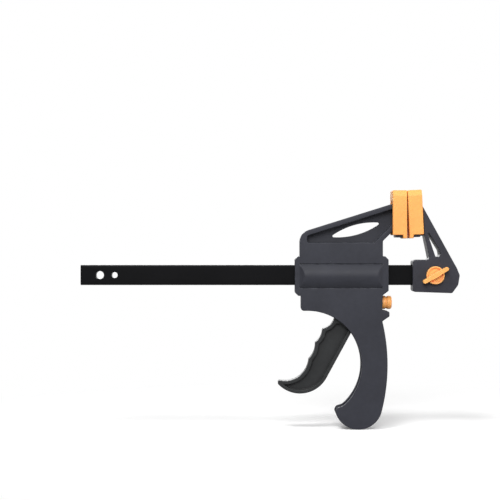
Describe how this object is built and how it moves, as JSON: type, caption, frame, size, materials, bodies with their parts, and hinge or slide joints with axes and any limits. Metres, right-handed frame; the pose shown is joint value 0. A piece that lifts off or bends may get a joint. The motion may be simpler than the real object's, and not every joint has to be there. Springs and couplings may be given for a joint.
{
  "type": "quick release bar clamp",
  "caption": "One-handed ratchet bar clamp with a steel bar, pistol grip and trigger, orange jaw pads, release button and a fixed jaw held by a winged quarter-turn pin.",
  "frame": {"origin": "centre of the pin hole in the bar's free end, at mid thickness", "axes": "+X along the bar towards the fixed jaw, +Y from the knob's side of the clamp to the screws' side, +Z from the grip towards the jaws"},
  "size_m": [0.2263, 0.0237, 0.1429],
  "materials": {
    "bar_steel": "black oxide, satin, worn bright at the long edges",
    "shell_nylon": "glass-filled nylon, dark grey, fine satin texture",
    "trigger_nylon": "glass-filled nylon, charcoal, fine satin texture",
    "jaw_nylon": "glass-filled nylon, dark grey, fine satin texture",
    "pad_orange": "soft orange moulding, matt",
    "knob_orange": "orange moulding, satin",
    "button_orange": "orange moulding, satin",
    "pin_steel": "ground steel",
    "plate_steel": "hardened steel, ground edges",
    "spring_wire": "spring wire",
    "screw_steel": "zinc-plated steel, dull"
  },
  "bodies": {
    "housing": {"front_shell": "shell_nylon", "rear_shell": "shell_nylon", "trigger_pin": "pin_steel", "drive_spring": "spring_wire", "brake_spring": "spring_wire", "moving_pad": "pad_orange", "screw_head_left": "screw_steel", "screw_head_right": "screw_steel", "screw_body": "screw_steel", "screw_grip": "screw_steel", "screw_butt": "screw_steel"},
    "bar": {"bar": "bar_steel", "fixed_jaw": "jaw_nylon", "fixed_pad": "pad_orange"},
    "knob": {"knob_head": "knob_orange", "knob_pin": "pin_steel"},
    "trigger": {"trigger": "trigger_nylon"},
    "drive_plates": {"drive_plate_left": "plate_steel", "drive_plate_right": "plate_steel"},
    "brake_plate": {"brake_plate": "plate_steel"},
    "release_button": {"release_button": "button_orange"}
  },
  "joints": [
    {"name": "bar_slide", "type": "slide", "parent": "housing", "child": "bar", "axis": [1, 0, 0], "range_m": [0, 0.1]},
    {"name": "trigger_pivot", "type": "hinge", "parent": "housing", "child": "trigger", "pos_m": [0.147, 0, -0.0175], "axis": [0, -1, 0], "range_deg": [0, 24], "stiffness_Nm_per_rad": 0.15, "springref_deg": -17.19},
    {"name": "drive_plates_slide", "type": "slide", "parent": "housing", "child": "drive_plates", "axis": [-1, 0, 0], "range_m": [0, 0.003], "deforming": ["drive_spring"]},
    {"name": "brake_plate_rock", "type": "hinge", "parent": "housing", "child": "brake_plate", "pos_m": [0.16112, 0, 0.0096], "axis": [0, 1, 0], "range_deg": [0, 5], "stiffness_Nm_per_rad": 0.05, "springref_deg": -11.46, "deforming": ["brake_spring"]},
    {"name": "release_button_press", "type": "slide", "parent": "housing", "child": "release_button", "axis": [-1, 0, 0], "range_m": [0, 0.00241]},
    {"name": "knob_turn", "type": "hinge", "parent": "bar", "child": "knob", "pos_m": [0.2, 0, 0], "axis": [0, -1, 0], "range_deg": [0, 60]}
  ],
  "couplings": [
    {"joint": "drive_plates_slide", "follows": "trigger_pivot", "m_per_rad": 0.0071},
    {"joint": "release_button_press", "follows": "brake_plate_rock", "m_per_rad": 0.0275}
  ]
}
